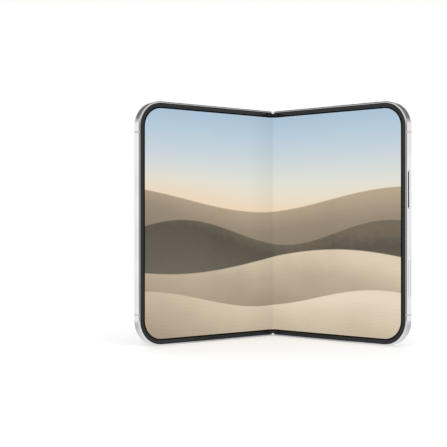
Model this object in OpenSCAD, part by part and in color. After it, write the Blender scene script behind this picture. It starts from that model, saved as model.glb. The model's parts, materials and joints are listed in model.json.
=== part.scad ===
// A foldable phone that opens like a book, standing half open on its lower edge.
// Each half is drawn lying open and flat: x runs from the fold out to the outer side,
// y from the inner screen to the back, and z from the lower edge up. on_camera_half()
// and on_cover_half() then swing what is drawn so to the stored angle.

/* [Halves] */
// Height of the phone
phone_h = 120.6; // [116:0.1:130]
// Width of one half, from the fold to its outer side
half_w = 84.5; // [82:0.1:90]
// Radius of the two outer corners of a half
corner_r = 13; // [11:0.5:14]
// Radius of the two corners beside the fold
fold_corner_r = 2.2; // [2:0.1:2.4]
// Height of the metal lip above the inner screen
lip_proud = 0.15; // [0.05:0.05:0.15]
// Width of the metal lip beside the inner screen
lip_w = 0.7; // [0.7:0.05:1]
// Thickness of the frame's wall
wall_w = 1.8; // [1.8:0.05:1.9]
// Rounding of the frame's front edge
front_edge_r = 0.65; // [0.3:0.05:0.65]
// Rounding of the frame's back edge
back_edge_r = 0.7; // [0.3:0.05:0.8]

/* [Fold] */
// Angle that each half is turned from flat in the stored pose
rest_fold = 39; // [30:1:45]
// Distance of each hinge pin from the middle plane
pin_x = 1.95; // [1.93:0.01:1.97]
// Length of the inner screen that bends, on each side of the fold
bend_len = 6; // [5.8:0.1:6]
// Turn of a wing plate for each degree of fold
wing_ratio = 0.311; // [0.28:0.001:0.32]

/* [Cameras] */
// Height of the camera plateau above the back
plateau_h = 1.7; // [1.4:0.1:2]
// Height of the plateau from its lower to its upper edge
plateau_tall = 27; // [25:0.5:28]
// Outer radius of a lens ring
ring_r = 8.15; // [7.8:0.05:8.3]
// Height of a lens ring above the plateau
ring_proud = 2.2; // [1.8:0.1:2.4]
// Distance between the two lens centres
lens_pitch = 18; // [17.5:0.5:19]
// Distance of the first lens centre from the outer side
lens_inset = 18.8; // [18:0.1:20]

/* [Keys] */
// Length of the side button
side_button_len = 18.9; // [15:0.1:20]
// Height of the side button's centre above mid-height
side_button_up = 16.5; // [14:0.5:20]
// Length of the flush camera key
camera_key_len = 17.7; // [14:0.1:19]
// Depth of the camera key's centre below mid-height
camera_key_down = 26.6; // [22:0.1:30]
// Length of a volume key
volume_key_len = 12; // [10:0.5:12.5]
// How far a raised key stands out of the frame
key_proud = 0.35; // [0.2:0.05:0.4]

/* [Hidden] */
$fn = 48;
half_t = 4.8;
pin_y = pin_x - 0.2;
screen_t = 0.45;
plate_y = 0.7;
plate_t = 0.5;
inside_y = plate_y + plate_t;
glass_y = 4.12;
back_lip_w = 1.0;
fit_gap = 0.05;
fold_gap = 0.05;
mid_z = phone_h / 2;
spine_r = 1.95;
spine_wall = 0.35;
spine_edge_y = 2.55;
spine_end_z = 2.4;
spine_clear_r = 2.25;
strip_w = 5;
strip_y = 4.0;
hinge_wall_u = 6.3;
hinge_wall_t = 1.0;
inner_u = hinge_wall_u + hinge_wall_t;
hinge_zs = [14, phone_h - 14 - 17];
antenna_up = 44.5;
antenna_w = 0.7;
key_y = 2.35;
key_wide = 2.0;
key_flange_t = 0.5;
key_flange_over = 0.2;
volume_us = [46.5, 60.2];
port_u = half_w / 2;
lens_z = phone_h - 15.4;
lens_us = [half_w - lens_inset, half_w - lens_inset - lens_pitch];
plateau_top = phone_h - 1.9;
plateau_u = [9.5, half_w - 5.6];
ring_top_y = half_t + plateau_h + ring_proud;
lens_r = ring_r - 1.2;
mic_u = 31.5;
flash_z = lens_z - 7;
gear_module = 0.15;
main_teeth = 12;
idler_teeth = 8;
main_gear_r = gear_module * main_teeth / 2;
idler_gear_r = gear_module * idler_teeth / 2;
idler_y = pin_y + sqrt(pow(main_gear_r + idler_gear_r, 2) - pow(pin_x - idler_gear_r, 2));
gear_face = 2.4;
arm_y = [1.85, 2.45];
wing_pivot = [6.1, 0.85];
wing_tilt = wing_ratio * rest_fold;
white = "#f2f1ef";
chrome = "#c9c9cb";
dark = "#202124";

// ---- Places -------------------------------------------------------------------------

// Where a point of the flat half lies once the half is folded.
function folded(u, y, turn = rest_fold) = [
    pin_x + (u - pin_x) * cos(turn) + (y - pin_y) * sin(turn),
    pin_y - (u - pin_x) * sin(turn) + (y - pin_y) * cos(turn)
];

// Moves everything so that the origin is under the middle of the stored pose.
nearest_y = folded(half_w, -lip_proud)[1];
farthest_y = folded(fold_gap, half_t)[1];
centre_y = -(nearest_y + farthest_y) / 2;

module on_spine() {
    translate([0, centre_y, 0]) children();
}

module on_camera_half() {
    on_spine() translate([pin_x, pin_y, 0]) rotate([0, 0, -rest_fold])
        translate([-pin_x, -pin_y, 0]) children();
}

module on_cover_half() {
    mirror([1, 0, 0]) on_camera_half() children();
}

// ---- Shapes that repeat -------------------------------------------------------------

// What a rounded corner at the origin leaves outside its arc.
module corner_waste(r) {
    difference() {
        translate([-1, -1]) square(r + 1);
        translate([r, r]) circle(r);
    }
}

// The face of a half, drawn inset mm inside its edge and starting at u0.
module half_face(inset, u0, fold_r) {
    outer_r = corner_r - inset;
    top = phone_h - inset;
    difference() {
        translate([u0, inset]) square([half_w - inset - u0, phone_h - 2 * inset]);
        translate([half_w - inset, inset]) mirror([1, 0]) corner_waste(outer_r);
        translate([half_w - inset, top]) rotate(180) corner_waste(outer_r);
        translate([u0, inset]) corner_waste(fold_r);
        translate([u0, top]) mirror([0, 1]) corner_waste(fold_r);
    }
}

// A rectangle with four round corners, from low to high.
module round_rect(low, high, r) {
    for (x = [low[0] + r, high[0] - r], z = [low[1] + r, high[1] - r])
        translate([x, z]) circle(r);
    translate([low[0], low[1] + r]) square([high[0] - low[0], high[1] - low[1] - 2 * r]);
    translate([low[0] + r, low[1]]) square([high[0] - low[0] - 2 * r, high[1] - low[1]]);
}

// Stands a flat drawing up in the half, from depth y0 to depth y1.
module plate(y0, y1) {
    translate([0, y1, 0]) rotate([90, 0, 0]) linear_extrude(y1 - y0) children();
}

module box(low, high) {
    translate(low) cube([high[0] - low[0], high[1] - low[1], high[2] - low[2]]);
}

// A disc or a rod that lies along y.
module rod_y(u, z, r, y0, y1) {
    translate([u, y1, z]) rotate([90, 0, 0]) cylinder(h = y1 - y0, r = r);
}

module rod_z(u, y, r, z0, z1) {
    translate([u, y, z0]) cylinder(h = z1 - z0, r = r);
}

// A long hole or key with round ends, as a flat drawing.
module slot_2d(len, wide) {
    for (side = [-1, 1])
        translate([side * (len - wide) / 2, 0]) circle(wide / 2);
    square([len - wide, wide], center = true);
}

// A key or its hole in the outer side, from x0 to x1.
module side_slot(z, len, wide, x0, x1) {
    translate([x0, key_y, z]) rotate([0, 90, 0]) linear_extrude(x1 - x0) slot_2d(len, wide);
}

// The same in the upper or lower edge, from z0 to z1.
module edge_slot(u, len, wide, z0, z1) {
    translate([u, key_y, z0]) linear_extrude(z1 - z0) slot_2d(len, wide);
}

// ---- Frame --------------------------------------------------------------------------

// Section through the frame's wall: x runs inward from the outer side, y is the depth.
module wall_section() {
    difference() {
        union() {
            translate([0, -lip_proud]) square([lip_w, lip_proud + plate_y]);
            translate([0, screen_t + 0.05]) square([wall_w, glass_y - screen_t - 0.05]);
            translate([0, glass_y]) square([back_lip_w, half_t - glass_y]);
        }
        translate([0, -lip_proud]) corner_waste(front_edge_r);
        translate([0, half_t]) mirror([0, 1]) corner_waste(back_edge_r);
    }
}

// A quarter turn of the wall, starting at the given angle.
module wall_corner(u, z, r, start) {
    translate([u, 0, z]) rotate([-90, 0, 0]) rotate([0, 0, start])
        rotate_extrude(angle = 90) translate([r, 0]) mirror([1, 0]) wall_section();
}

module wall_ring() {
    edge_u = fold_gap + fold_corner_r;
    edge_len = half_w - corner_r - edge_u;
    translate([half_w, 0, corner_r]) mirror([1, 0, 0])
        linear_extrude(phone_h - 2 * corner_r) wall_section();
    translate([edge_u, 0, phone_h]) rotate([0, 90, 0]) linear_extrude(edge_len) wall_section();
    translate([edge_u, 0, 0]) rotate([0, 90, 0]) mirror([1, 0, 0])
        linear_extrude(edge_len) wall_section();
    wall_corner(half_w - corner_r, corner_r, corner_r, 0);
    wall_corner(half_w - corner_r, phone_h - corner_r, corner_r, -90);
    wall_corner(edge_u, fold_corner_r, fold_corner_r, 90);
    wall_corner(edge_u, phone_h - fold_corner_r, fold_corner_r, 180);
}

module antenna_slots() {
    for (side = [-1, 1])
        box([half_w - 1.2, -1, mid_z + side * antenna_up - antenna_w / 2],
            [half_w + 1, half_t + 1, mid_z + side * antenna_up + antenna_w / 2]);
}

// Room for the pin, the turning spine and the bending screen beside the fold.
module fold_relief() {
    difference() {
        box([-1, -1, -1], [pin_x, pin_y, phone_h + 1]);
        rod_z(pin_x, pin_y, pin_x - fold_gap, -2, phone_h + 2);
    }
    rod_z(pin_x, pin_y, spine_clear_r, spine_end_z - 0.2, phone_h - spine_end_z + 0.2);
    box([-1, -1, lip_w + 0.02], [hinge_wall_u, 1.95, phone_h - lip_w - 0.02]);
    rod_z(wing_pivot[0], wing_pivot[1], 0.34, 2.5, phone_h - 2.5);
}

// Windows in the wall beside the hinge, for the arms and the ribbon cable.
module hinge_windows() {
    for (z = hinge_zs)
        box([hinge_wall_u - 1, 1.7, z + 2.8], [inner_u + 1, 2.6, z + 9.3]);
    box([hinge_wall_u - 1, 1.7, mid_z - 10.5], [inner_u + 1, 2.6, mid_z + 10.5]);
}

// The strip of the frame's back that covers the spine while the phone lies open.
module hinge_strip() {
    box([fold_gap, strip_y, fold_corner_r], [strip_w, half_t, phone_h - fold_corner_r]);
    box([fold_gap + fold_corner_r, strip_y, 1], [strip_w, half_t, phone_h - 1]);
    for (z = [1.9, phone_h - 2.9])
        box([1.9, strip_y - 0.1, z], [3, half_t - 0.1, z + 1]);
}

module half_frame() {
    difference() {
        union() {
            wall_ring();
            plate(plate_y, inside_y) half_face(wall_w - 0.1, hinge_wall_u, 0.1);
            box([hinge_wall_u, plate_y, 1], [inner_u, glass_y, phone_h - 1]);
            box([4.3, 3.45, 1], [inner_u, glass_y, phone_h - 1]);
            hinge_strip();
        }
        fold_relief();
        hinge_windows();
        translate([fold_gap, half_t, -1]) mirror([0, 1, 0])
            linear_extrude(phone_h + 2) corner_waste(0.4);
        for (z = hinge_zs, u = [9, 11.5])
            rod_y(u, z + 6, 0.4, 0.8, 2);
        antenna_slots();
    }
}

module antenna_bands() {
    intersection() {
        wall_ring();
        antenna_slots();
    }
}

module camera_frame() {
    color(chrome) on_camera_half() difference() {
        half_frame();
        side_slot(mid_z + side_button_up, side_button_len + 0.1, key_wide + 0.1,
            half_w - 3, half_w + 1);
        side_slot(mid_z - camera_key_down, camera_key_len + 0.1, key_wide + 0.1,
            half_w - 3, half_w + 1);
        for (u = volume_us)
            edge_slot(u, volume_key_len + 0.1, key_wide + 0.1, phone_h - 3, phone_h + 1);
        edge_slot(port_u, 9.0, 3.2, -1, 2.5);
        box([port_u - 4.6, plate_y - 1, wall_w], [port_u + 4.6, inside_y + 1, 7.6]);
        for (side = [-1, 1], i = [0:4])
            rod_z(port_u + side * (10 + 2.2 * i), key_y, 0.6, -1, 2.5);
        for (side = [-1, 1])
            rod_z(port_u + side * 7.2, key_y, 0.8, -1, 2.5);
        rod_z(30, key_y, 0.4, phone_h - 2.5, phone_h + 1);
    }
}

module camera_frame_antenna_bands() {
    color("gainsboro") on_camera_half() antenna_bands();
}

module cover_frame() {
    color(chrome) on_cover_half() difference() {
        half_frame();
        for (i = [-2:2])
            rod_z(port_u + 2.2 * i, key_y, 0.6, phone_h - 2.5, phone_h + 1);
        rod_z(30, key_y, 0.4, -1, 2.5);
    }
}

module cover_frame_antenna_bands() {
    color("gainsboro") on_cover_half() antenna_bands();
}

// ---- Hinge --------------------------------------------------------------------------

// Section through the spine's trough, or through what fills it.
module spine_section(r, floor_y, top_y) {
    intersection() {
        union() {
            for (side = [-1, 1])
                translate([side * pin_x, pin_y]) circle(r);
            translate([-pin_x, top_y]) square([2 * pin_x, floor_y - top_y]);
        }
        translate([-8, top_y]) square([16, floor_y - top_y]);
    }
}

module spine_cover() {
    low = spine_end_z + 0.6;
    high = phone_h - low;
    color(chrome) on_spine() difference() {
        translate([0, 0, low]) linear_extrude(high - low) difference() {
            spine_section(spine_r, pin_y + spine_r, spine_edge_y);
            spine_section(spine_r - spine_wall, pin_y + spine_r - spine_wall, 0);
        }
        for (z = hinge_zs)
            rod_y(0, z + 1.5, 0.35, 1, 3.58);
    }
}

module spine_end_caps() {
    color(chrome) on_spine() for (z = [spine_end_z, phone_h - spine_end_z - 0.6])
        translate([0, 0, z]) linear_extrude(0.6)
            spine_section(spine_r, pin_y + spine_r, spine_edge_y - 0.8);
}

module hinge_brackets() {
    floor_y = pin_y + spine_r - spine_wall;
    color("slategray") on_spine() for (z = hinge_zs) difference() {
        union() {
            for (lug = [[0, 3], [11.6, 14.6]])
                translate([0, 0, z + lug[0]]) linear_extrude(lug[1] - lug[0])
                    spine_section(spine_r - spine_wall - 0.02, floor_y, 0.8);
            box([-0.95, 1.7, z + 3], [0.95, floor_y, z + 8.8]);
            box([-1.9, 3.2, z + 3], [1.9, floor_y, z + 11.6]);
        }
        for (side = [-1, 1]) {
            rod_z(side * pin_x, pin_y, 0.45, z - 1, z + 16);
            rod_z(side * idler_gear_r, idler_y, 0.28, z + 8.2, z + 12.3);
        }
        rod_y(0, z + 1.5, 0.35, 0, 4);
        rod_y(0, z + 1.5, 0.7, 0.7, 1.3);
    }
}

module hinge_bracket_screws() {
    color("dimgray") on_spine() for (z = hinge_zs) {
        rod_y(0, z + 1.5, 0.7, 0.8, 1.3);
        rod_y(0, z + 1.5, 0.35, 1.3, 3.55);
    }
}

module hinge_pins() {
    color("silver") on_spine() for (z = hinge_zs, side = [-1, 1]) {
        rod_z(side * pin_x, pin_y, 0.45, z, z + 17);
        rod_z(side * pin_x, pin_y, 0.7, z - 0.4, z);
    }
}

module hinge_disc_springs() {
    color("darkgray") on_spine() for (z = hinge_zs, side = [-1, 1], i = [0:4])
        difference() {
            rod_z(side * pin_x, pin_y, 0.9, z + 14.65 + 0.3 * i, z + 14.9 + 0.3 * i);
            rod_z(side * pin_x, pin_y, 0.47, z + 14, z + 17);
        }
}

module hinge_pin_nuts() {
    color("dimgray") on_spine() for (z = hinge_zs, side = [-1, 1])
        difference() {
            translate([side * pin_x, pin_y, z + 16.15]) cylinder(h = 0.7, r = 0.85, $fn = 6);
            rod_z(side * pin_x, pin_y, 0.45, z + 16, z + 17);
        }
}

// A bar on the brackets that carries the middle of the bending screen.
module fold_support_bar() {
    color("dimgray") on_spine()
        box([-0.8, 0.62, spine_end_z + 0.7], [0.8, 0.8, phone_h - spine_end_z - 0.7]);
}

function involute(base_r, at) = [
    base_r * (cos(at) + at * PI / 180 * sin(at)),
    base_r * (sin(at) - at * PI / 180 * cos(at))
];

function turned(p, by) = [p[0] * cos(by) - p[1] * sin(by), p[0] * sin(by) + p[1] * cos(by)];

// One flank of a tooth that is centred on +x, from its root to its tip.
function flank(teeth) =
    let (
        pitch_r = gear_module * teeth / 2,
        base_r = pitch_r * cos(20),
        tip_r = pitch_r + 0.85 * gear_module,
        tip_at = sqrt(pow(tip_r / base_r, 2) - 1) * 180 / PI,
        pitch_at = sqrt(pow(pitch_r / base_r, 2) - 1) * 180 / PI,
        at_pitch = involute(base_r, pitch_at),
        play = 2.6,
        back = atan2(at_pitch[1], at_pitch[0]) + 90 / teeth - play,
        root_r = pitch_r - 1.2 * gear_module
    )
    concat(
        [root_r * [cos(-back), sin(-back)]],
        [for (i = [0:4]) turned(involute(base_r, tip_at * i / 4), -back)]
    );

// Outline of a spur gear with a tooth centred on +x.
function gear_points(teeth) =
    let (low = flank(teeth), high = [for (i = [len(low) - 1:-1:0]) [low[i][0], -low[i][1]]])
    [for (k = [0:teeth - 1], p = concat(low, high)) turned(p, 360 * k / teeth)];

// Angle from a hinge pin to its idler gear, lying open.
mesh_angle = atan2(idler_y - pin_y, idler_gear_r - pin_x);

// Lower end, spur gear and knuckle of an arm, then the arm and its foot.
module hinge_arm(z, tooth_shift) {
    difference() {
        union() {
            rod_z(pin_x, pin_y, 0.85, z + 3.1, z + 9);
            translate([pin_x, pin_y, z + 9]) rotate(mesh_angle + tooth_shift * 360 / main_teeth)
                linear_extrude(gear_face) polygon(gear_points(main_teeth));
            box([pin_x, arm_y[0], z + 3.1], [12.5, arm_y[1], z + 9]);
            box([7.6, inside_y, z + 3.1], [12.5, arm_y[0], z + 9]);
        }
        rod_z(pin_x, pin_y, 0.49, z + 2, z + 12);
        for (u = [9, 11.5])
            rod_y(u, z + 6, 0.4, 1, 3);
    }
}

module arm_screws() {
    for (z = hinge_zs, u = [9, 11.5]) {
        rod_y(u, z + 6, 0.4, 0.8, arm_y[1]);
        rod_y(u, z + 6, 0.75, arm_y[1], arm_y[1] + 0.45);
    }
}

module camera_side_hinge_arms() {
    color("lightslategray") on_camera_half() for (z = hinge_zs) hinge_arm(z, 0);
}

module cover_side_hinge_arms() {
    color("lightslategray") on_cover_half() for (z = hinge_zs) hinge_arm(z, 0.5);
}

module camera_side_arm_screws() {
    color("dimgray") on_camera_half() arm_screws();
}

module cover_side_arm_screws() {
    color("dimgray") on_cover_half() arm_screws();
}

// Idler gears of one side on their journals, in mesh with that side's arms.
module idler_gears(tooth_shift) {
    gap_shift = 180 / idler_teeth;
    rolled = rest_fold * main_teeth / idler_teeth;
    for (z = hinge_zs) {
        rod_z(idler_gear_r, idler_y, 0.25, z + 8.3, z + 12.2);
        translate([idler_gear_r, idler_y, z + 9])
            rotate(mesh_angle + 180 + gap_shift + rolled - tooth_shift * 360 / idler_teeth)
            linear_extrude(gear_face) polygon(gear_points(idler_teeth));
    }
}

module camera_side_idler_gears() {
    color("goldenrod") on_spine() idler_gears(0);
}

module cover_side_idler_gears() {
    color("goldenrod") on_spine() mirror([1, 0, 0]) idler_gears(0.5);
}

// A plate under the bend that tips back as the phone closes.
module wing_plate() {
    translate([wing_pivot[0], wing_pivot[1], 0]) rotate([0, 0, -wing_tilt])
        translate([-wing_pivot[0], -wing_pivot[1], 0]) difference() {
            union() {
                box([3.3, 0.55, 3], [wing_pivot[0], 0.75, phone_h - 3]);
                rod_z(wing_pivot[0], wing_pivot[1], 0.3, 3, phone_h - 3);
            }
            for (z = hinge_zs)
                box([3, 0, z + 2.6], [5.4, 1.5, z + 9.5]);
        }
}

module camera_side_wing_plate() {
    color("silver") on_camera_half() wing_plate();
}

module cover_side_wing_plate() {
    color("silver") on_cover_half() wing_plate();
}

// ---- Inner screen -------------------------------------------------------------------

function smooth(t) = t * t * (3 - 2 * t);

bend_end_x = folded(bend_len, 0)[0];

// A point of the bent screen at x and at a depth below its face. The turn grows smoothly
// from the middle, where the screen stays with the spine, to the end, where it is the
// half's own.
function bend_point(x, depth) =
    let (
        turn = rest_fold * smooth(min(1, abs(x) / bend_end_x)),
        u = pin_x + (abs(x) - pin_x + pin_y * sin(turn)) / cos(turn),
        p = folded(u, depth, turn)
    )
    [sign(x) * p[0], p[1]];

bend_steps = 20;

// The notches between the screen's round corners at the ends of the fold.
module fold_notches() {
    r = 0.75;
    corner_x = 1.0;
    corner_z = lip_w + 0.05 + r;
    for (end = [0, 1])
        translate([0, 0, end * phone_h]) mirror([0, 0, end]) difference() {
            box([-corner_x, -3, 0], [corner_x, 6, corner_z]);
            for (side = [-1, 1])
                rod_y(side * corner_x, corner_z, r, -4, 7);
        }
}

module bending_screen() {
    xs = [for (i = [-bend_steps:bend_steps]) bend_end_x * i / bend_steps];
    face = [for (x = xs) bend_point(x, 0)];
    back = [for (i = [len(xs) - 1:-1:0]) bend_point(xs[i], screen_t)];
    inset = lip_w + 0.05;
    color(dark) on_spine() difference() {
        translate([0, 0, inset]) linear_extrude(phone_h - 2 * inset)
            polygon(concat(face, back));
        fold_notches();
    }
}

module half_screen() {
    plate(0, screen_t) half_face(lip_w + 0.05, bend_len + 0.02, 0.01);
}

module half_screen_plate() {
    plate(screen_t + 0.01, plate_y) half_face(wall_w + 0.05, hinge_wall_u + 0.2, 0.3);
}

module camera_side_screen() {
    color(dark) on_camera_half() half_screen();
}

module cover_side_screen() {
    color(dark) on_cover_half() half_screen();
}

module camera_side_screen_plate() {
    color("silver") on_camera_half() half_screen_plate();
}

module cover_side_screen_plate() {
    color("silver") on_cover_half() half_screen_plate();
}

// A thin cable that runs from half to half through the spine.
module hinge_ribbon_cable() {
    half_path = [[0.6, 3.1], [1.7, 3.0], folded(4.2, 2.15), folded(5.2, 2.15)];
    path = concat([for (i = [3:-1:0]) [-half_path[i][0], half_path[i][1]]], half_path);
    near = [for (p = path) [p[0], p[1] - 0.06]];
    far = [for (i = [len(path) - 1:-1:0]) [path[i][0], path[i][1] + 0.06]];
    color("peru") on_spine() translate([0, 0, mid_z - 10]) linear_extrude(20)
        polygon(concat(near, far));
}

// ---- Back of the camera half --------------------------------------------------------

// The plateau's edge, from its top face down to a soft foot: x runs inward.
module plateau_section(r) {
    foot_r = 0.7;
    brow_r = 0.9;
    difference() {
        translate([-foot_r, half_t - 0.2]) square([r + foot_r, plateau_h + 0.2]);
        translate([0, half_t + plateau_h]) mirror([0, 1]) corner_waste(brow_r);
        translate([-foot_r, half_t + foot_r]) circle(foot_r);
        translate([-foot_r - 1, half_t + foot_r]) square([foot_r + 1, plateau_h]);
    }
}

module plateau() {
    r = plateau_tall / 2;
    low_u = plateau_u[0] + r;
    high_u = plateau_u[1] - r;
    z = plateau_top - r;
    for (side = [0, 1])
        translate([low_u, 0, z]) mirror([0, 0, side]) rotate([0, 90, 0]) translate([-r, 0, 0])
            linear_extrude(high_u - low_u) plateau_section(r);
    translate([low_u, 0, z]) rotate([-90, 0, 0]) rotate([0, 0, 90])
        rotate_extrude(angle = 180) translate([r, 0]) mirror([1, 0]) plateau_section(r);
    translate([high_u, 0, z]) rotate([-90, 0, 0]) rotate([0, 0, -90])
        rotate_extrude(angle = 180) translate([r, 0]) mirror([1, 0]) plateau_section(r);
}

// A back pane with a softly broken outer edge.
module back_pane() {
    inset = back_lip_w + fit_gap;
    plate(glass_y + 0.01, half_t - 0.25) half_face(inset, strip_w + fit_gap, 2);
    plate(half_t - 0.25, half_t) half_face(inset + 0.15, strip_w + fit_gap + 0.15, 1.85);
}

module rear_glass() {
    color(white) on_camera_half() difference() {
        union() {
            back_pane();
            plateau();
        }
        plate(4, half_t + plateau_h - 0.9) round_rect([plateau_u[0] + 4, plateau_top - plateau_tall + 3],
            [plateau_u[1] - 3, plateau_top - 3], 9);
        for (u = lens_us) rod_y(u, lens_z, ring_r, 4, ring_top_y + 1);
        rod_y(mic_u, lens_z + 1.5, 0.5, 4, ring_top_y);
        rod_y(mic_u, flash_z, 2.2, 4, ring_top_y);
    }
}

module lens_ring(u) {
    edge = 0.45;
    foot_y = half_t + plateau_h - 1.4;
    tube_r = ring_r - lens_r;
    translate([u, 0, lens_z]) rotate([-90, 0, 0]) rotate_extrude() difference() {
        translate([lens_r, foot_y]) square([tube_r, ring_top_y - foot_y]);
        translate([ring_r, ring_top_y]) rotate(180) corner_waste(edge);
        translate([lens_r, ring_top_y]) mirror([0, 1]) corner_waste(0.28);
    }
}

module wide_lens_ring() {
    color(chrome) on_camera_half() lens_ring(lens_us[0]);
}

module ultrawide_lens_ring() {
    color(chrome) on_camera_half() lens_ring(lens_us[1]);
}

module lens_glass(u) {
    rod_y(u, lens_z, lens_r, ring_top_y - 0.75, ring_top_y - 0.3);
}

module wide_lens_glass() {
    color(dark) on_camera_half() lens_glass(lens_us[0]);
}

module ultrawide_lens_glass() {
    color(dark) on_camera_half() lens_glass(lens_us[1]);
}

// A camera: its square body, its barrel, and the stepped well in front of its lens.
module camera_module(u, iris_r) {
    barrel_r = lens_r - 0.15;
    front_y = ring_top_y - 0.8;
    difference() {
        union() {
            box([u - 7.6, inside_y + 0.1, lens_z - 7.6], [u + 7.6, glass_y - 0.1, lens_z + 7.6]);
            rod_y(u, lens_z, barrel_r, glass_y - 0.1, front_y);
        }
        rod_y(u, lens_z, barrel_r - 1.2, front_y - 0.5, front_y + 1);
        rod_y(u, lens_z, iris_r + 0.8, front_y - 1.1, front_y + 1);
        translate([u, front_y + 0.2, lens_z]) sphere(iris_r);
    }
}

module wide_camera_module() {
    color("black") on_camera_half() camera_module(lens_us[0], 3);
}

module ultrawide_camera_module() {
    color("black") on_camera_half() camera_module(lens_us[1], 2.3);
}

module flash_lens() {
    color("lightyellow") on_camera_half()
        rod_y(mic_u, flash_z, 2.15, 4.3, half_t + plateau_h);
}

module rear_microphone() {
    color("black") on_camera_half() union() {
        rod_y(mic_u, lens_z + 1.5, 0.45, 4.4, half_t + plateau_h - 0.1);
        box([mic_u - 1.5, inside_y + 0.1, lens_z], [mic_u + 1.5, 4.4, lens_z + 3]);
    }
}

// ---- Inside the camera half ---------------------------------------------------------

module main_board() {
    color("darkgreen") on_camera_half() plate(2.5, 3.0) difference() {
        round_rect([49, 24], [80.5, 95], 1.5);
        translate([77, 78]) square([5, 30]);
    }
}

module board_shields() {
    color("lightgray") on_camera_half() {
        plate(3.0, 3.9) round_rect([52, 28], [76, 56], 1);
        plate(3.0, 3.9) round_rect([52, 59], [76, 92], 1);
        plate(1.4, 2.5) round_rect([53, 34], [74, 86], 1);
    }
}

module camera_side_battery() {
    color(dark) on_camera_half() plate(inside_y + 0.05, 3.7) round_rect([15, 14], [46, 94], 2);
}

module charging_coil() {
    color("peru") on_camera_half() for (i = [0:4]) difference() {
        rod_y(port_u, 56, 12 + 2 * i, 3.93, 4.08);
        rod_y(port_u, 56, 10.4 + 2 * i, 3.5, 4.5);
    }
}

module magnet_ring() {
    color("dimgray") on_camera_half() for (i = [0:17])
        translate([port_u, 0, 56]) rotate([0, i * 20, 0]) box([-3.4, 3.93, 22.6], [3.4, 4.08, 26]);
}

module usb_c_port() {
    color("silver") on_camera_half() {
        difference() {
            edge_slot(port_u, 8.94, 3.14, 0.3, 7.5);
            edge_slot(port_u, 8.34, 2.56, -1, 6.7);
        }
        box([port_u - 3.35, key_y - 0.35, 1.1], [port_u + 3.35, key_y + 0.35, 6.7]);
    }
}

module loudspeaker() {
    color(dark) on_camera_half() difference() {
        plate(inside_y + 0.1, 3.85) round_rect([50, 2.2], [74.5, 20], 2);
        for (i = [0:4])
            rod_z(port_u + 10 + 2.2 * i, key_y, 0.6, 2, 4);
    }
}

module vibration_motor() {
    color("silver") on_camera_half() plate(inside_y + 0.1, 3.85) round_rect([15, 3], [31, 11.5], 1);
}

module bottom_screws() {
    color("silver") on_camera_half() for (side = [-1, 1]) difference() {
        union() {
            rod_z(port_u + side * 7.2, key_y, 0.75, 0.15, 1.0);
            rod_z(port_u + side * 7.2, key_y, 0.45, 1.0, 5);
        }
        translate([port_u + side * 7.2, key_y, 0]) cylinder(h = 0.55, r = 0.35, $fn = 5);
    }
}

// Switches behind the keys, just clear of a key that is pressed home.
switch_gap = key_flange_t + 0.36;

module side_key_switches() {
    x1 = half_w - wall_w - switch_gap;
    color("peru") on_camera_half() for (z = [mid_z + side_button_up, mid_z - camera_key_down])
        box([x1 - 0.5, key_y - 0.9, z - 6], [x1, key_y + 0.9, z + 6]);
}

module volume_key_switches() {
    z1 = phone_h - wall_w - switch_gap;
    color("peru") on_camera_half() for (u = volume_us)
        box([u - 4, key_y - 0.9, z1 - 0.4], [u + 4, key_y + 0.9, z1]);
}

// ---- Keys ---------------------------------------------------------------------------

module side_key(z, len, proud) {
    wall_x = half_w - wall_w;
    edge = 0.15;
    side_slot(z, len, key_wide, wall_x - 0.02, half_w + proud - edge);
    side_slot(z, len - 2 * edge, key_wide - 2 * edge, half_w + proud - edge, half_w + proud);
    side_slot(z, len + key_flange_over, key_wide + key_flange_over,
        wall_x - 0.02 - key_flange_t, wall_x - 0.02);
}

module volume_key(u) {
    wall_z = phone_h - wall_w;
    edge = 0.15;
    top = phone_h + key_proud;
    edge_slot(u, volume_key_len, key_wide, wall_z - 0.02, top - edge);
    edge_slot(u, volume_key_len - 2 * edge, key_wide - 2 * edge, top - edge, top);
    edge_slot(u, volume_key_len + key_flange_over, key_wide + key_flange_over,
        wall_z - 0.02 - key_flange_t, wall_z - 0.02);
}

module side_button() {
    color(chrome) on_camera_half() side_key(mid_z + side_button_up, side_button_len, key_proud);
}

module camera_control_key() {
    color(chrome) on_camera_half() side_key(mid_z - camera_key_down, camera_key_len, 0);
}

module volume_up_key() {
    color(chrome) on_camera_half() volume_key(volume_us[1]);
}

module volume_down_key() {
    color(chrome) on_camera_half() volume_key(volume_us[0]);
}

// ---- Inside the cover half ----------------------------------------------------------

front_camera_z = phone_h - 9;

module cover_glass() {
    color("black") on_cover_half() back_pane();
}

module cover_display_panel() {
    color(dark) on_cover_half() plate(3.75, glass_y) difference() {
        half_face(3.5, strip_w + 3, 3);
        translate([port_u, front_camera_z]) circle(2);
    }
}

module front_camera() {
    color("black") on_cover_half() {
        rod_y(port_u, front_camera_z, 1.8, 2.8, glass_y);
        box([port_u - 3, inside_y + 0.1, front_camera_z - 3],
            [port_u + 3, 2.8, front_camera_z + 3]);
    }
}

module earpiece_speaker() {
    color("dimgray") on_cover_half()
        plate(inside_y + 0.1, 3.4) round_rect([54, phone_h - 15], [72, phone_h - 3], 1.5);
}

module cover_side_battery() {
    color(dark) on_cover_half() plate(inside_y + 0.05, 3.65) round_rect([15, 8], [66, 92], 2);
}

module second_board() {
    color("darkgreen") on_cover_half() {
        plate(2.0, 2.5) round_rect([15, 94], [36, 117], 1.5);
        plate(2.5, 3.5) round_rect([17, 96], [34, 114], 1);
    }
}

// ---- Nodes --------------------------------------------------------------------------

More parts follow.
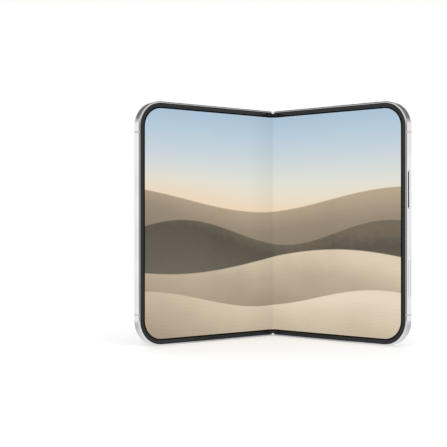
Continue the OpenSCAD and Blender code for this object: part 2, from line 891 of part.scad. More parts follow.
spine_cover();
spine_end_caps();
hinge_brackets();
hinge_pins();
hinge_disc_springs();
hinge_pin_nuts();
hinge_bracket_screws();
fold_support_bar();
bending_screen();
hinge_ribbon_cable();
camera_side_idler_gears();
cover_side_idler_gears();
camera_side_wing_plate();
cover_side_wing_plate();
camera_frame();
camera_frame_antenna_bands();
camera_side_hinge_arms();
camera_side_arm_screws();
camera_side_screen();
camera_side_screen_plate();
rear_glass();
wide_lens_ring();
ultrawide_lens_ring();
wide_lens_glass();
ultrawide_lens_glass();
wide_camera_module();
ultrawide_camera_module();
flash_lens();
rear_microphone();
main_board();
board_shields();
camera_side_battery();
charging_coil();
magnet_ring();
usb_c_port();
loudspeaker();
vibration_motor();
bottom_screws();
side_key_switches();
volume_key_switches();
side_button();
camera_control_key();
volume_up_key();
volume_down_key();
cover_frame();
cover_frame_antenna_bands();
cover_side_hinge_arms();
cover_side_arm_screws();
cover_side_screen();
cover_side_screen_plate();
cover_glass();
cover_display_panel();
front_camera();
earpiece_speaker();
cover_side_battery();
second_board();
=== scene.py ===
# Dresses a foldable phone that stands half open on its lower edges.
# Each half is drawn lying open and flat, as in the part's source: u runs from the fold to the
# outer side, v from the inner screen to the back, z up, all in millimetres. fold_in_place()
# and bend_in_place() then swing it to the stored pose and turn it to metres.
import json
import math
import bmesh
import bpy
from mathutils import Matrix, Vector


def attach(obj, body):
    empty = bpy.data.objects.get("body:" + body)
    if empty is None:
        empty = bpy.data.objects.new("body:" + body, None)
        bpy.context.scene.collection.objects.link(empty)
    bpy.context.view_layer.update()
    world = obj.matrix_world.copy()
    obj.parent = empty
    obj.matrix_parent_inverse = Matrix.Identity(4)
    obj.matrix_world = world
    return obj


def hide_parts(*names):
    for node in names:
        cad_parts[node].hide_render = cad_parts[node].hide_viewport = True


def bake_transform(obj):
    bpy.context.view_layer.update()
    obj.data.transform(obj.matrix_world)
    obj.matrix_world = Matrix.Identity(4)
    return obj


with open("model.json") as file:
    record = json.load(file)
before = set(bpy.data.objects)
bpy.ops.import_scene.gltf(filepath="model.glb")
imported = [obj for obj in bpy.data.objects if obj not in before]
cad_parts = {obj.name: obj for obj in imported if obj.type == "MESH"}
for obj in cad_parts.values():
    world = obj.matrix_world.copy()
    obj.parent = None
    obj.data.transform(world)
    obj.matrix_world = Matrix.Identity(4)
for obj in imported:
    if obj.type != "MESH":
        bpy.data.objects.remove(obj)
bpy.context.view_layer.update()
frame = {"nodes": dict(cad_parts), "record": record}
nodes = frame["nodes"]


# ---- Sizes, in millimetres ---------------------------------------------------------------

MM = 0.001
PHONE_H = 120.6
HALF_W = 84.5
HALF_T = 4.8
CORNER_R = 13.0
REST_FOLD = math.radians(39)
PIN_U, PIN_V = 1.95, 1.75
BEND_LEN = 6.0
LIP_PROUD = 0.15
FOLD_GAP = 0.05

SCREEN_INSET = 0.75
SCREEN_T = 0.45
BEND_THINNED = 0.2
THINNING_U = 0.5
BEND_STEPS = 24
BEZEL = 2.0
INNER_LINE = 0.7
NOTCH_W = 1.3
NOTCH_DEEP = 0.7
NOTCH_R = 0.9
SMOOTH_X = 8.0

COVER_PANEL = (7.5, 3.2), (HALF_W - 3.2, PHONE_H - 3.2)
COVER_PANEL_R = 10
FRONT_CAMERA = (HALF_W / 2, PHONE_H - 9)

LENS_Z = PHONE_H - 15.4
WIDE_LENS = (65.7, LENS_Z)
ULTRAWIDE_LENS = (47.7, LENS_Z)
RING_TOP = 8.7
ELEMENT_TOP = 7.8
ELEMENT_RISE = 0.8
ELEMENT_EDGE = 0.2

CABLE_W = 20.0
CABLE_T = 0.12
CABLE_DEEP = 3.1
CABLE_LEVEL = 2.15
CABLE_RISE_U = 4.2
CABLE_REACH = 9.5

SEAL_INSET = 0.96
SEAL_FOLD_U = 4.96
SEAL_FOLD_R = 2.09
SEAL_W = 0.28
SEAL_DEEP = 4.815
SEAL_T = 0.2

FLOOR_R = 500.0
CAMERA_BACK = 528.0


# ---- Colours -----------------------------------------------------------------------------

# Rings of the front camera and of a camera barrel, from the outside in: radius and the colour
# inside it.
FRONT_CAMERA_RINGS = (
    (2.0, (0.001, 0.001, 0.001)), (1.15, (0.010, 0.012, 0.03)), (0.75, (0.002, 0.002, 0.006)),
    (0.35, (0.02, 0.02, 0.05)),
)
BARREL_RINGS = (
    (5.5, (0.03, 0.03, 0.035)), (5.2, (0.006, 0.006, 0.008)), (4.6, (0.022, 0.022, 0.03)),
    (4.3, (0.008, 0.008, 0.010)), (3.4, (0.03, 0.03, 0.04)), (3.1, (0.007, 0.008, 0.014)),
)
# Each wave of the lit picture: level, swell, waves across, phase, drift of its light, depth
# of its fine ripples, coarseness of its grain, and its colours from the crest down.
SCREEN_WAVES = (
    (0.60, 0.050, 0.9, 2.2, 0.06, 0.0, 0.2,
     [(0.0, (0.47, 0.37, 0.26)), (0.10, (0.31, 0.25, 0.18)), (0.3, (0.2, 0.16, 0.12))]),
    (0.46, 0.055, 1.25, 0.4, 0.10, 0.2, 1.0,
     [(0.0, (0.17, 0.14, 0.10)), (0.08, (0.10, 0.085, 0.065)), (0.26, (0.14, 0.12, 0.09))]),
    (0.34, 0.050, 0.8, 4.0, 0.20, 0.6, 0.1,
     [(0.0, (0.72, 0.60, 0.45)), (0.12, (0.50, 0.41, 0.30)), (0.3, (0.32, 0.25, 0.18)),
      (0.42, (0.18, 0.14, 0.10))]),
    (0.18, 0.045, 1.1, 1.6, 0.20, 1.0, 0.1,
     [(0.0, (0.78, 0.67, 0.52)), (0.12, (0.60, 0.50, 0.37)), (0.28, (0.40, 0.32, 0.23)),
      (0.4, (0.24, 0.19, 0.13))]),
)
SKY = (
    (0.42, (0.80, 0.60, 0.42)), (0.56, (0.84, 0.68, 0.50)), (0.62, (0.80, 0.72, 0.59)),
    (0.68, (0.74, 0.74, 0.66)), (0.80, (0.57, 0.65, 0.70)), (0.90, (0.46, 0.59, 0.69)),
    (1.0, (0.37, 0.51, 0.66)),
)
SKY_GLOW = (0.86, 0.63, 0.42)
# Painted shade: the colour that the lit picture dims towards, just left of the crease.
CREASE_PAINTED_SHADE = (0.0, 0.02, 0.03)
# How light polished metal sees the studio along two directions, each from -1 to 1.
STUDIO_DEPTH = ((-1.0, 0.03), (-0.93, 0.04), (-0.85, 0.7), (-0.3, 0.85), (0.0, 1.0), (1.0, 1.0))
STUDIO_HEIGHT = ((-1.0, 0.5), (-0.55, 0.5), (-0.3, 1.0), (0.20, 1.0), (0.42, 0.2), (0.66, 0.2),
                 (0.9, 0.06), (1.0, 0.4))
# Each sun: name, the way it shines, strength and spread in degrees.
SUNS = (
    ("key", (0.5, 0.9, -1.3), 0.8, 40), ("fill", (-0.8, 0.7, -0.6), 0.5, 60),
    ("back", (0.2, -1.0, -0.9), 0.6, 60),
)


# ---- Places ------------------------------------------------------------------------------

def folded(u, v, turn=REST_FOLD):
    """Where a point of the flat half on the right lies in the stored pose, in millimetres."""
    s, c = math.sin(turn), math.cos(turn)
    return (PIN_U + (u - PIN_U) * c + (v - PIN_V) * s,
            PIN_V - (u - PIN_U) * s + (v - PIN_V) * c)


CENTRE_Y = -(folded(HALF_W, -LIP_PROUD)[1] + folded(FOLD_GAP, HALF_T)[1]) / 2
BEND_END_X = folded(BEND_LEN, 0)[0]


def on_bend(u, v):
    """The same for the strip of screen that bends: its turn grows smoothly from the middle."""
    x = u / BEND_LEN * BEND_END_X
    t = min(1.0, x / BEND_END_X)
    turn = REST_FOLD * t * t * (3 - 2 * t)
    flat_u = PIN_U + (x - PIN_U + PIN_V * math.sin(turn)) / math.cos(turn)
    return folded(flat_u, v, turn)


def fold_in_place(bm, side, bend_len=0):
    """Swings a flat half to its place: side is 1 for the camera half and -1 for the cover half.
    The first bend_len mm from the fold bend."""
    for vert in bm.verts:
        u, v = vert.co.x, vert.co.y
        x, y = on_bend(u, v) if u < bend_len else folded(u, v)
        vert.co = Vector((side * x, y + CENTRE_Y, vert.co.z)) * MM


def bend_in_place(bm, side):
    fold_in_place(bm, side, BEND_LEN)


def blend_over_fold(piece):
    """Bakes into its mesh the transform of a piece that runs out of the spine into a half."""
    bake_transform(piece)


def new_piece(name, bm, materials, body=None):
    """Turns a finished bmesh into an object, which rides on the body if one is named."""
    mesh = bpy.data.meshes.new(name)
    bm.to_mesh(mesh)
    bm.free()
    piece = bpy.data.objects.new(name, mesh)
    bpy.context.scene.collection.objects.link(piece)
    for material in materials:
        mesh.materials.append(material)
    if body:
        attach(piece, body)
    return piece


def verts_of(made):
    """The vertices among what an operator has made."""
    return [item for item in made["geom"] if isinstance(item, bmesh.types.BMVert)]


def cut_across(bm, u, **more):
    """Cuts a flat piece straight across at u."""
    bmesh.ops.bisect_plane(bm, geom=bm.verts[:] + bm.edges[:] + bm.faces[:], dist=1e-6,
                           plane_co=(u, 0, 0), plane_no=(1, 0, 0), **more)


def round_corners(bm, corners, radius, segments=24):
    bmesh.ops.bevel(bm, geom=corners, offset=radius, offset_type="OFFSET", segments=segments,
                    profile=0.5, affect="VERTICES", material=-1)


# ---- Shader nodes ------------------------------------------------------------------------

def finish_nodes(name):
    """An empty node material with its surface shader, as (material, nodes, links, shader)."""
    material = bpy.data.materials.new(name)
    material.use_nodes = True
    tree = material.node_tree
    return material, tree.nodes, tree.links, tree.nodes["Principled BSDF"]


def set_socket(shader, **values):
    for key, value in values.items():
        shader.inputs[key.replace("_", " ")].default_value = value


def fill_socket(links, socket, value):
    """Gives a socket a number, a colour or what another node puts out."""
    if isinstance(value, tuple):
        socket.default_value = (*value, 1)
    elif isinstance(value, (int, float)):
        socket.default_value = value
    else:
        links.new(value, socket)


def calc(n, links, op, *values):
    """A sum on numbers or sockets."""
    node = n.new("ShaderNodeMath")
    node.operation = op
    for socket, value in zip(node.inputs, values):
        fill_socket(links, socket, value)
    return node.outputs[0]


def split(n, links, vector):
    """The three parts of a vector."""
    node = n.new("ShaderNodeSeparateXYZ")
    links.new(vector, node.inputs["Vector"])
    return node.outputs["X"], node.outputs["Y"], node.outputs["Z"]


def rise(n, links, value, low, high):
    """0 below low, 1 above high, and smooth between; low may be the larger one."""
    node = n.new("ShaderNodeMapRange")
    node.interpolation_type = "SMOOTHSTEP"
    node.inputs["From Min"].default_value = low
    node.inputs["From Max"].default_value = high
    links.new(value, node.inputs["Value"])
    return node.outputs["Result"]


def noise(n, links, scale, detail=2.0, place=None):
    """A noise pattern on the object, or on the place that is given."""
    if place is None:
        place = n.new("ShaderNodeTexCoord").outputs["Object"]
    tex = n.new("ShaderNodeTexNoise")
    tex.inputs["Scale"].default_value = scale
    tex.inputs["Detail"].default_value = detail
    links.new(place, tex.inputs["Vector"])
    return tex.outputs["Fac"]


def ramp(n, links, source, stops):
    """Colours along a value, from stops of (place, colour)."""
    node = n.new("ShaderNodeValToRGB")
    row = node.color_ramp.elements
    row[0].position, row[0].color = stops[0][0], (*stops[0][1], 1)
    row[1].position, row[1].color = stops[-1][0], (*stops[-1][1], 1)
    for at, colour in stops[1:-1]:
        row.new(at).color = (*colour, 1)
    links.new(source, node.inputs["Fac"])
    return node.outputs["Color"]


def shade(level, tint=(1, 1, 1)):
    return tuple(level * t for t in tint)


def blended(n, links, mask, below, above, way="MIX"):
    """The colour below where mask is 0, above where it is 1."""
    node = n.new("ShaderNodeMix")
    node.data_type = "RGBA"
    node.blend_type = way
    fill_socket(links, node.inputs["Factor"], mask)
    fill_socket(links, node.inputs["A"], below)
    fill_socket(links, node.inputs["B"], above)
    return node.outputs["Result"]


def mixed_shader(n, links, mask, below, above):
    """The shader below where mask is 0, above where it is 1."""
    node = n.new("ShaderNodeMixShader")
    for socket, source in zip(node.inputs, (mask, below, above)):
        links.new(source, socket)
    return node.outputs[0]


def roughness_between(n, links, source, shader, low, high):
    """Roughness that follows a pattern from low to high."""
    node = n.new("ShaderNodeMapRange")
    node.inputs["To Min"].default_value = low
    node.inputs["To Max"].default_value = high
    links.new(source, node.inputs["Value"])
    links.new(node.outputs["Result"], shader.inputs["Roughness"])


def flat_place(n, links, side):
    """u, v and z of the flat half in millimetres, from where a point lies in the stored pose."""
    x, y, z = split(n, links, n.new("ShaderNodeTexCoord").outputs["Object"])
    c, s = math.cos(REST_FOLD), math.sin(REST_FOLD)
    u_start = PIN_U - PIN_U * c + (CENTRE_Y + PIN_V) * s
    v_start = PIN_V - PIN_U * s - (CENTRE_Y + PIN_V) * c
    u = calc(n, links, "MULTIPLY_ADD", x, side * c / MM, u_start)
    u = calc(n, links, "MULTIPLY_ADD", y, -s / MM, u)
    v = calc(n, links, "MULTIPLY_ADD", x, side * s / MM, v_start)
    v = calc(n, links, "MULTIPLY_ADD", y, c / MM, v)
    return u, v, calc(n, links, "DIVIDE", z, MM)


def distance_to(n, links, u, z, centre):
    du = calc(n, links, "SUBTRACT", u, centre[0])
    dz = calc(n, links, "SUBTRACT", z, centre[1])
    squares = calc(n, links, "MULTIPLY_ADD", du, du, calc(n, links, "MULTIPLY", dz, dz))
    return calc(n, links, "SQRT", squares)


def outside_of(n, links, u, z, low, high, radius):
    """Distance from a rectangle with round corners, below 0 inside it."""
    over = []
    for value, lo, hi in ((u, low[0], high[0]), (z, low[1], high[1])):
        off = calc(n, links, "ABSOLUTE", calc(n, links, "SUBTRACT", value, (lo + hi) / 2))
        past = calc(n, links, "SUBTRACT", off, (hi - lo) / 2 - radius)
        over.append(calc(n, links, "MAXIMUM", past, 0))
    squares = calc(n, links, "MULTIPLY_ADD", over[0], over[0],
                   calc(n, links, "MULTIPLY", over[1], over[1]))
    return calc(n, links, "SUBTRACT", calc(n, links, "SQRT", squares), radius)


def ringed(n, links, colour, reach, rings, soft):
    """The colour with rings of other colours laid over it, each with a soft edge."""
    for radius, tint in rings:
        colour = blended(n, links, rise(n, links, reach, radius + soft, radius - soft), colour, tint)
    return colour


# ---- Finishes ----------------------------------------------------------------------------

def speckled_finish(name, low, high, scale, roughness, metallic=0.0, bump=0.0, **more):
    """A finish whose colour drifts a little between two shades, with a faint texture."""
    material, n, links, shader = finish_nodes(name)
    speckle = noise(n, links, scale, 4)
    links.new(ramp(n, links, speckle, [(0.35, low), (0.65, high)]), shader.inputs["Base Color"])
    roughness_between(n, links, speckle, shader, *roughness)
    if bump:
        lift = n.new("ShaderNodeBump")
        lift.inputs["Strength"].default_value = bump
        lift.inputs["Distance"].default_value = 0.02 * MM
        links.new(noise(n, links, scale * 8, 3), lift.inputs["Height"])
        links.new(lift.outputs["Normal"], shader.inputs["Normal"])
    set_socket(shader, Metallic=metallic, **more)
    return material


def cover_glass_finish():
    """Black glass with the dark display and the front camera showing faintly under it."""
    material, n, links, shader = finish_nodes("cover_glass_black")
    u, _, z = flat_place(n, links, -1)
    edge = outside_of(n, links, u, z, *COVER_PANEL, COVER_PANEL_R)
    colour = blended(n, links, rise(n, links, edge, 0.1, -0.1),
                     (0.0035, 0.0035, 0.004), (0.0075, 0.0075, 0.009))
    reach = distance_to(n, links, u, z, FRONT_CAMERA)
    links.new(ringed(n, links, colour, reach, FRONT_CAMERA_RINGS, 0.05), shader.inputs["Base Color"])
    roughness_between(n, links, noise(n, links, 35, 3), shader, 0.04, 0.08)
    return material


def tinted_glass_finish():
    """Coated glass over a camera, with a faint violet reflection."""
    material, n, links, shader = finish_nodes("tinted_glass")
    stops = [(0.3, (0.68, 0.69, 0.73)), (0.7, (0.73, 0.74, 0.78))]
    links.new(ramp(n, links, noise(n, links, 300), stops), shader.inputs["Base Color"])
    set_socket(shader, Roughness=0.02, Transmission_Weight=1.0, IOR=1.22,
               Specular_Tint=(0.7, 0.7, 0.85, 1))
    return material


def lens_ring_finish():
    """Polished rims whose sides darken down to the plateau: a painted dark reflection."""
    material, n, links, shader = finish_nodes("lens_ring_metal")
    v = flat_place(n, links, 1)[1]
    grain = noise(n, links, 80, 3)
    rim = ramp(n, links, grain, [(0.3, shade(0.82)), (0.7, shade(0.88))])
    # Painted dark reflection: below the rim, the sides of the ring turn dark grey down to the plateau.
    side = blended(n, links, rise(n, links, v, RING_TOP - 0.6, RING_TOP - 2.0),
                   rim, shade(0.16, (1, 1, 0.97)))
    links.new(side, shader.inputs["Base Color"])
    roughness_between(n, links, grain, shader, 0.05, 0.1)
    set_socket(shader, Metallic=1.0)
    return material


def camera_barrel_finish():
    """Black camera barrels with thin rings around a dark blue front element."""
    material, n, links, shader = finish_nodes("camera_barrel")
    u, _, z = flat_place(n, links, 1)
    reach = calc(n, links, "MINIMUM", distance_to(n, links, u, z, WIDE_LENS),
                 distance_to(n, links, u, z, ULTRAWIDE_LENS))
    grain = noise(n, links, 400, 3)
    colour = ramp(n, links, grain, [(0.3, shade(0.006)), (0.7, shade(0.010))])
    links.new(ringed(n, links, colour, reach, BARREL_RINGS, 0.06), shader.inputs["Base Color"])
    roughness_between(n, links, grain, shader, 0.25, 0.4)
    return material


def screen_picture():
    """The lit picture: broad soft waves in sky blue, cream, grey brown and sand."""
    material, n, links, shader = finish_nodes("screen_picture")
    uv = n.new("ShaderNodeUVMap")
    uv.uv_map = "flat"
    across, up, _ = split(n, links, uv.outputs["UV"])
    grain = noise(n, links, 3.2, 5, uv.outputs["UV"])
    fine = noise(n, links, 9, 2, uv.outputs["UV"])
    grit = noise(n, links, 45, 6, uv.outputs["UV"])

    picture = ramp(n, links, up, SKY)
    glow = calc(n, links, "MULTIPLY", rise(n, links, across, 0.5, 0.0), rise(n, links, up, 0.76, 0.56))
    picture = blended(n, links, calc(n, links, "MULTIPLY", glow, 0.7), picture, SKY_GLOW)
    from_left = calc(n, links, "MULTIPLY_ADD", across, -1, 0.62)
    for level, swell, waves, phase, sway, ripple, coarse, stops in SCREEN_WAVES:
        angle = calc(n, links, "MULTIPLY_ADD", across, waves * 2 * math.pi, phase)
        crest = calc(n, links, "MULTIPLY_ADD", calc(n, links, "SINE", angle), swell, level)
        deep = calc(n, links, "SUBTRACT", crest, up)
        drift = calc(n, links, "ADD", deep, -0.4 * sway - 0.04 * coarse)
        drift = calc(n, links, "MULTIPLY_ADD", grain, sway, drift)
        drift = calc(n, links, "MULTIPLY_ADD", from_left, sway, drift)
        drift = calc(n, links, "MULTIPLY_ADD", grit, 0.08 * coarse, drift)
        furrow = calc(n, links, "MULTIPLY_ADD", fine, 14, calc(n, links, "MULTIPLY", deep, 420))
        drift = calc(n, links, "MULTIPLY_ADD", calc(n, links, "SINE", furrow), 0.006 * ripple, drift)
        band = ramp(n, links, drift, stops)
        picture = blended(n, links, rise(n, links, deep, -0.003, 0.003), picture, band)
    # Painted shade: the picture dims a little from the left up to the crease.
    painted_crease_shade = calc(n, links, "MULTIPLY", rise(n, links, across, 0.38, 0.49),
                  rise(n, links, across, 0.505, 0.495))
    picture = blended(n, links, calc(n, links, "MULTIPLY", painted_crease_shade, 0.08), picture, CREASE_PAINTED_SHADE)
    links.new(picture, shader.inputs["Emission Color"])
    set_socket(shader, Base_Color=(0.004, 0.004, 0.004, 1), Roughness=0.08, Specular_IOR_Level=0.1,
               Emission_Strength=1.0)
    return material


BRIGHT = (shade(0.78, (1, 1, 1.01)), shade(0.84, (1, 1, 1.01)))
polished_metal = speckled_finish("polished_metal", *BRIGHT, 60, (0.035, 0.07), metallic=1.0)
key_metal = speckled_finish("key_metal", *BRIGHT, 120, (0.16, 0.22), metallic=1.0)
copper = speckled_finish("copper", (0.6, 0.28, 0.14), (0.72, 0.36, 0.18), 400, (0.3, 0.45),
                         metallic=1.0)
coated_element = speckled_finish("coated_element", (0.005, 0.006, 0.012), (0.006, 0.007, 0.015),
                                 60, (0.02, 0.03), Coat_Weight=1.0, Coat_Roughness=0.02,
                                 Coat_Tint=(0.75, 0.78, 1.0, 1))
seal_black = speckled_finish("seal_black", shade(0.01), shade(0.014), 300, (0.5, 0.6))
bezel = speckled_finish("bezel", shade(0.016), shade(0.02), 40, (0.05, 0.08),
                        Specular_IOR_Level=0.3)
bezel_line = speckled_finish("bezel_line", shade(0.0005), shade(0.001), 40, (0.3, 0.4),
                             Specular_IOR_Level=0.05)
lit_picture = screen_picture()
camera_barrel = camera_barrel_finish()
lens_ring_metal = lens_ring_finish()
# The finish of each material slot in the record, and of the nodes that have one of their own.
SLOT_FINISHES = {
    "polished_metal": polished_metal,
    "white_glass": speckled_finish("white_glass", (0.905, 0.896, 0.888), (0.925, 0.918, 0.910), 18,
                                   (0.06, 0.1), Coat_Weight=0.6, Coat_Roughness=0.04),
    "antenna_plastic": speckled_finish("antenna_plastic", shade(0.5), shade(0.56), 400, (0.3, 0.4),
                                       bump=0.15),
    "screen": speckled_finish("black_glass", shade(0.006), shade(0.01), 20, (0.04, 0.07),
                              Specular_IOR_Level=0.5),
    "black_glass": cover_glass_finish(),
    "lens_glass": tinted_glass_finish(),
    "black_plastic": speckled_finish("black_plastic", shade(0.012), shade(0.018), 400, (0.4, 0.55),
                                     bump=0.3),
    "steel": speckled_finish("satin_steel", shade(0.5), shade(0.58), 300, (0.28, 0.4),
                             metallic=1.0, bump=0.2),
    "dark_steel": speckled_finish("dark_steel", shade(0.2), shade(0.28), 300, (0.3, 0.4),
                                  metallic=1.0, bump=0.2),
    "hinge_alloy": speckled_finish("hinge_alloy", (0.42, 0.44, 0.47), (0.5, 0.52, 0.55), 250,
                                   (0.35, 0.5), metallic=1.0, bump=0.3),
    "brass": speckled_finish("brass", (0.6, 0.42, 0.16), (0.7, 0.52, 0.22), 250, (0.25, 0.35),
                             metallic=1.0),
    "copper": copper,
    "board_green": speckled_finish("board_green", (0.01, 0.09, 0.04), (0.02, 0.14, 0.06), 500,
                                   (0.35, 0.5), bump=0.3),
    "battery_wrap": speckled_finish("battery_wrap", shade(0.03), shade(0.04), 300, (0.4, 0.5),
                                    bump=0.2),
    "flash_yellow": speckled_finish("flash_yellow", (0.85, 0.82, 0.7), (0.9, 0.87, 0.76), 600,
                                    (0.15, 0.25)),
}
NODE_FINISHES = {
    "wide_camera_module": camera_barrel, "ultrawide_camera_module": camera_barrel,
    "wide_lens_ring": lens_ring_metal, "ultrawide_lens_ring": lens_ring_metal,
    "side_button": key_metal, "camera_control_key": key_metal,
    "volume_up_key": key_metal, "volume_down_key": key_metal,
}


def finish_cad_nodes():
    for part in frame["record"]["subparts"]:
        mesh = nodes[part["node"]].data
        mesh.materials.clear()
        mesh.materials.append(NODE_FINISHES.get(part["node"], SLOT_FINISHES[part["material_slot"]]))


# ---- Inner screen ------------------------------------------------------------------------

def screen_loop(bm, inset):
    """One outline of the whole screen lying flat, inset mm inside its edge, with three points
    beside the fold on each long side. Returns its edges and those points, lower ones first."""
    old = set(bm.edges)
    side = HALF_W - SCREEN_INSET - inset
    low = SCREEN_INSET + inset
    corners = bmesh.ops.create_grid(bm, x_segments=1, y_segments=1, size=0.5)["verts"]
    for vert in corners:
        vert.co = Vector((side if vert.co.x > 0 else -side, 0, PHONE_H - low if vert.co.y > 0 else low))
    round_corners(bm, corners, CORNER_R - low)
    points = []
    for edge in [e for e in bm.edges if e not in old and e.calc_length() > 1.1 * PHONE_H]:
        start = min(edge.verts, key=lambda v: v.co.x)
        for u in (-NOTCH_W, 0, NOTCH_W):
            edge, vert = bmesh.utils.edge_split(edge, start, 0.5)
            edge = next(e for e in vert.link_edges if e.other_vert(vert).co.x > vert.co.x)
            vert.co.x = u
            start = vert
            points.append(vert)
    points.sort(key=lambda v: (v.co.z, v.co.x))
    return [e for e in bm.edges if e not in old], points


def screen_sheet():
    """The whole inner screen lying flat: a bezel ring, a thin line and the lit face, with a
    notch at each end of the fold."""
    bm = bmesh.new()
    points = screen_loop(bm, 0)[1]
    points[1].co.z += NOTCH_DEEP
    points[4].co.z -= NOTCH_DEEP
    round_corners(bm, [points[i] for i in (0, 2, 3, 5)], NOTCH_R, 5)
    outer = bm.edges[:]
    line = screen_loop(bm, BEZEL)[0]
    lit = screen_loop(bm, BEZEL + INNER_LINE)[0]
    bmesh.ops.delete(bm, geom=bm.faces[:], context="FACES_ONLY")
    for slot, edges in enumerate((outer + line, line + lit, lit)):
        filled = bmesh.ops.triangle_fill(bm, edges=edges, use_beauty=True, normal=(0, -1, 0))["geom"]
        for face in filled:
            if isinstance(face, bmesh.types.BMFace):
                face.material_index = slot
    return bm


def half_screen(name, side):
    """One half of the screen as a solid sheet, thinner where it bends."""
    bm = screen_sheet()
    cut_across(bm, 0, clear_inner=True)
    for cut in range(1, BEND_STEPS + 1):
        cut_across(bm, cut * BEND_LEN / BEND_STEPS)
    flat = bm.loops.layers.uv.new("flat")
    for face in bm.faces:
        for loop in face.loops:
            u, z = loop.vert.co.x, loop.vert.co.z
            loop[flat].uv = (0.5 + side * u / (2 * HALF_W), z / PHONE_H)
    made = bmesh.ops.extrude_face_region(bm, geom=bm.faces[:], use_keep_orig=True)
    for vert in verts_of(made):
        into_bend = min(max((BEND_LEN - vert.co.x) / THINNING_U, 0), 1)
        vert.co.y += SCREEN_T - BEND_THINNED * into_bend
    bend_in_place(bm, side)
    bmesh.ops.recalc_face_normals(bm, faces=bm.faces[:])
    piece = new_piece(name, bm, (bezel, bezel_line, lit_picture))
    for poly in piece.data.polygons:
        faces_out = abs(poly.normal.z) < 0.5 and poly.normal.y < 0
        poly.use_smooth = faces_out and abs(poly.center.x) < SMOOTH_X * MM
    blend_over_fold(piece)
    return piece


# ---- Front elements of the cameras ---------------------------------------------------------

def front_element(name, centre, radius):
    """A shallow dome of coated glass in the well of a camera barrel."""
    bm = bmesh.new()
    curve = (radius * radius + ELEMENT_RISE * ELEMENT_RISE) / (2 * ELEMENT_RISE)
    end = bm.verts.new((0, ELEMENT_TOP, 0))
    for part in range(1, 13):
        end = bmesh.ops.extrude_vert_indiv(bm, verts=[end])["verts"][0]
        end.co.x = radius * part / 12
        end.co.y = ELEMENT_TOP - curve + math.sqrt(curve * curve - end.co.x * end.co.x)
    end = bmesh.ops.extrude_vert_indiv(bm, verts=[end])["verts"][0]
    end.co.y -= ELEMENT_EDGE
    bmesh.ops.spin(bm, geom=bm.verts[:] + bm.edges[:], cent=(0, 0, 0), axis=(0, 1, 0),
                   angle=2 * math.pi, steps=64, use_merge=True)
    bmesh.ops.remove_doubles(bm, verts=bm.verts[:], dist=1e-4)
    bmesh.ops.contextual_create(bm, geom=[edge for edge in bm.edges if edge.is_boundary])
    bmesh.ops.translate(bm, verts=bm.verts[:], vec=(centre[0], 0, centre[1]))
    fold_in_place(bm, 1)
    bmesh.ops.recalc_face_normals(bm, faces=bm.faces[:])
    piece = new_piece(name, bm, [coated_element], "camera_half")
    for poly in piece.data.polygons:
        poly.use_smooth = len(poly.vertices) < 5


# ---- Cable and seals ---------------------------------------------------------------------

def cable_half(name, side):
    """Half of the flat cable through the hinge, from the middle of the spine into a half."""
    bm = bmesh.new()
    end = bm.verts.new((0, CABLE_DEEP, PHONE_H / 2 - CABLE_W / 2))
    for part in range(1, 31):
        u = CABLE_REACH * part / 30
        sunk = min(1.0, u / CABLE_RISE_U)
        v = CABLE_DEEP - (CABLE_DEEP - CABLE_LEVEL) * sunk * sunk * (3 - 2 * sunk)
        end = bmesh.ops.extrude_vert_indiv(bm, verts=[end])["verts"][0]
        end.co.x, end.co.y = u, v
    made = bmesh.ops.extrude_edge_only(bm, edges=bm.edges[:])
    bmesh.ops.translate(bm, verts=verts_of(made), vec=(0, 0, CABLE_W))
    bend_in_place(bm, side)
    bmesh.ops.recalc_face_normals(bm, faces=bm.faces[:])
    bmesh.ops.solidify(bm, geom=bm.faces[:], thickness=CABLE_T * MM)
    piece = new_piece(name, bm, [copper])
    blend_over_fold(piece)
    return piece


def glass_seal(name, side, body):
    """The thin dark line of glue in the groove between a back glass and its frame."""
    bm = bmesh.new()
    corners = bmesh.ops.create_grid(bm, x_segments=1, y_segments=1, size=0.5)["verts"]
    for vert in corners:
        u = HALF_W - SEAL_INSET if vert.co.x > 0 else SEAL_FOLD_U
        z = PHONE_H - SEAL_INSET if vert.co.y > 0 else SEAL_INSET
        vert.co = Vector((u, SEAL_DEEP, z))
    by_fold = [v for v in corners if v.co.x < HALF_W / 2]
    outer = [v for v in corners if v.co.x > HALF_W / 2]
    round_corners(bm, by_fold, SEAL_FOLD_R)
    round_corners(bm, outer, CORNER_R - SEAL_INSET)
    bmesh.ops.inset_region(bm, faces=bm.faces[:], thickness=SEAL_W, use_even_offset=True,
                           use_boundary=True)
    inner = max(bm.faces, key=lambda face: len(face.verts))
    bmesh.ops.delete(bm, geom=[inner], context="FACES")
    made = bmesh.ops.extrude_face_region(bm, geom=bm.faces[:], use_keep_orig=True)
    bmesh.ops.translate(bm, verts=verts_of(made), vec=(0, -SEAL_T, 0))
    fold_in_place(bm, side)
    bmesh.ops.recalc_face_normals(bm, faces=bm.faces[:])
    new_piece(name, bm, [seal_black], body)


# ---- Room --------------------------------------------------------------------------------

def ray_kind(n, links, *kinds):
    """1 for the named kinds of ray, 0 for the others."""
    path = n.new("ShaderNodeLightPath")
    total = path.outputs[kinds[0]]
    for kind in kinds[1:]:
        total = calc(n, links, "MAXIMUM", total, path.outputs[kind])
    return total


def studio_level(n, links, way):
    """What polished metal sees of the studio in a direction: white walls and floor, with a dark
    wall behind the camera and a dark ceiling over the far side."""
    _, y, z = split(n, links, way)
    levels = []
    for value, stops in ((y, STUDIO_DEPTH), (z, STUDIO_HEIGHT)):
        along = calc(n, links, "MULTIPLY_ADD", value, 0.5, 0.5)
        levels.append(ramp(n, links, along, [((at + 1) / 2, shade(level)) for at, level in stops]))
    return blended(n, links, rise(n, links, y, -0.3, -0.05), *levels, way="MULTIPLY")


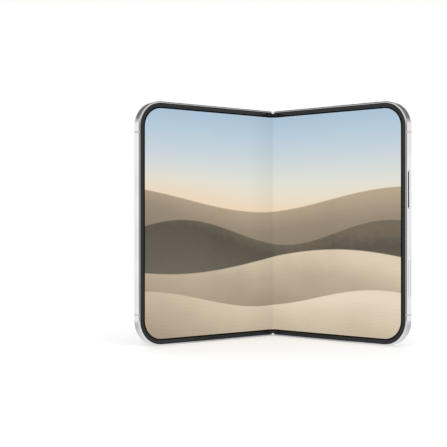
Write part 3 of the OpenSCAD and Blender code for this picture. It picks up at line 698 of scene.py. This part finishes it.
def light_room():
    world = bpy.data.worlds.new("studio")
    bpy.context.scene.world = world
    world.use_nodes = True
    n, links = world.node_tree.nodes, world.node_tree.links
    ambient = n["Background"]
    ambient.inputs["Color"].default_value = (1, 1, 1, 1)
    ambient.inputs["Strength"].default_value = 0.7
    white = n.new("ShaderNodeBackground")
    white.inputs["Color"].default_value = (1, 1, 1, 1)
    mirrored = n.new("ShaderNodeBackground")
    way = n.new("ShaderNodeTexCoord").outputs["Generated"]
    links.new(studio_level(n, links, way), mirrored.inputs["Color"])
    shown = mixed_shader(n, links, ray_kind(n, links, "Is Camera Ray", "Is Transmission Ray"),
                         ambient.outputs[0], white.outputs[0])
    shown = mixed_shader(n, links, ray_kind(n, links, "Is Glossy Ray"), shown, mirrored.outputs[0])
    links.new(shown, n["World Output"].inputs["Surface"])
    for name, way, strength, spread in SUNS:
        data = bpy.data.lights.new(name, "SUN")
        data.energy = strength
        data.angle = math.radians(spread)
        lamp = bpy.data.objects.new(name, data)
        lamp.rotation_euler = Vector(way).to_track_quat("-Z", "Y").to_euler()
        lamp.visible_glossy = False
        bpy.context.scene.collection.objects.link(lamp)


def floor_reflection(n, links, place):
    """The floor as polished metal sees it: lit as the studio is."""
    from_phone = n.new("ShaderNodeVectorMath")
    from_phone.operation = "SUBTRACT"
    from_phone.inputs[1].default_value = (0, 0, PHONE_H / 2 * MM)
    links.new(place, from_phone.inputs[0])
    way = n.new("ShaderNodeVectorMath")
    way.operation = "NORMALIZE"
    links.new(from_phone.outputs["Vector"], way.inputs[0])
    mirrored = n.new("ShaderNodeEmission")
    links.new(studio_level(n, links, way.outputs["Vector"]), mirrored.inputs["Color"])
    return mirrored.outputs[0]


def lay_floor():
    """A pale round floor that fades to plain white before its edge and keeps the soft shadow."""
    bm = bmesh.new()
    bmesh.ops.create_circle(bm, cap_ends=True, segments=96, radius=FLOOR_R * MM)
    material, n, links, shader = finish_nodes("pale_floor")
    set_socket(shader, Base_Color=(0.8, 0.8, 0.8, 1), Roughness=1.0, Specular_IOR_Level=0.0)
    place = n.new("ShaderNodeTexCoord").outputs["Object"]
    length = n.new("ShaderNodeVectorMath")
    length.operation = "LENGTH"
    links.new(place, length.inputs[0])
    reach = length.outputs["Value"]
    white = n.new("ShaderNodeEmission")
    lift = n.new("ShaderNodeEmission")
    lift.inputs["Strength"].default_value = 0.24
    lifted = n.new("ShaderNodeAddShader")
    links.new(shader.outputs[0], lifted.inputs[0])
    links.new(lift.outputs[0], lifted.inputs[1])
    faded = mixed_shader(n, links, rise(n, links, reach, 0.25 * FLOOR_R * MM, 0.95 * FLOOR_R * MM),
                         lifted.outputs[0], white.outputs[0])
    shown = mixed_shader(n, links, ray_kind(n, links, "Is Camera Ray", "Is Transmission Ray"),
                         shader.outputs[0], faded)
    seen = mixed_shader(n, links, ray_kind(n, links, "Is Glossy Ray"),
                        shown, floor_reflection(n, links, place))
    links.new(seen, n["Material Output"].inputs["Surface"])
    new_piece("floor", bm, [material])


def place_camera():
    data = bpy.data.cameras.new("camera")
    data.lens = 79.14
    data.sensor_width = 36
    data.shift_x = -0.1105
    camera = bpy.data.objects.new("camera", data)
    camera.location = (0, (CENTRE_Y - CAMERA_BACK) * MM, PHONE_H / 2 * MM)
    camera.rotation_euler = (math.pi / 2, 0, 0)
    bpy.context.scene.collection.objects.link(camera)
    bpy.context.scene.camera = camera


# ---- Making ------------------------------------------------------------------------------

place_camera()
finish_cad_nodes()
camera_side_screen = half_screen("camera_side_folding_screen", 1)
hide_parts("camera_side_screen", "bending_screen")
cover_side_screen = half_screen("cover_side_folding_screen", -1)
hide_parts("cover_side_screen")
front_element("wide_front_element", WIDE_LENS, 3.6)
front_element("ultrawide_front_element", ULTRAWIDE_LENS, 2.9)
camera_side_cable = cable_half("camera_side_hinge_cable", 1)
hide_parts("hinge_ribbon_cable")
cable_half("cover_side_hinge_cable", -1)
glass_seal("rear_glass_seal", 1, "camera_half")
glass_seal("cover_glass_seal", -1, "cover_half")
light_room()
lay_floor()
bpy.context.scene.view_settings.view_transform = "Standard"
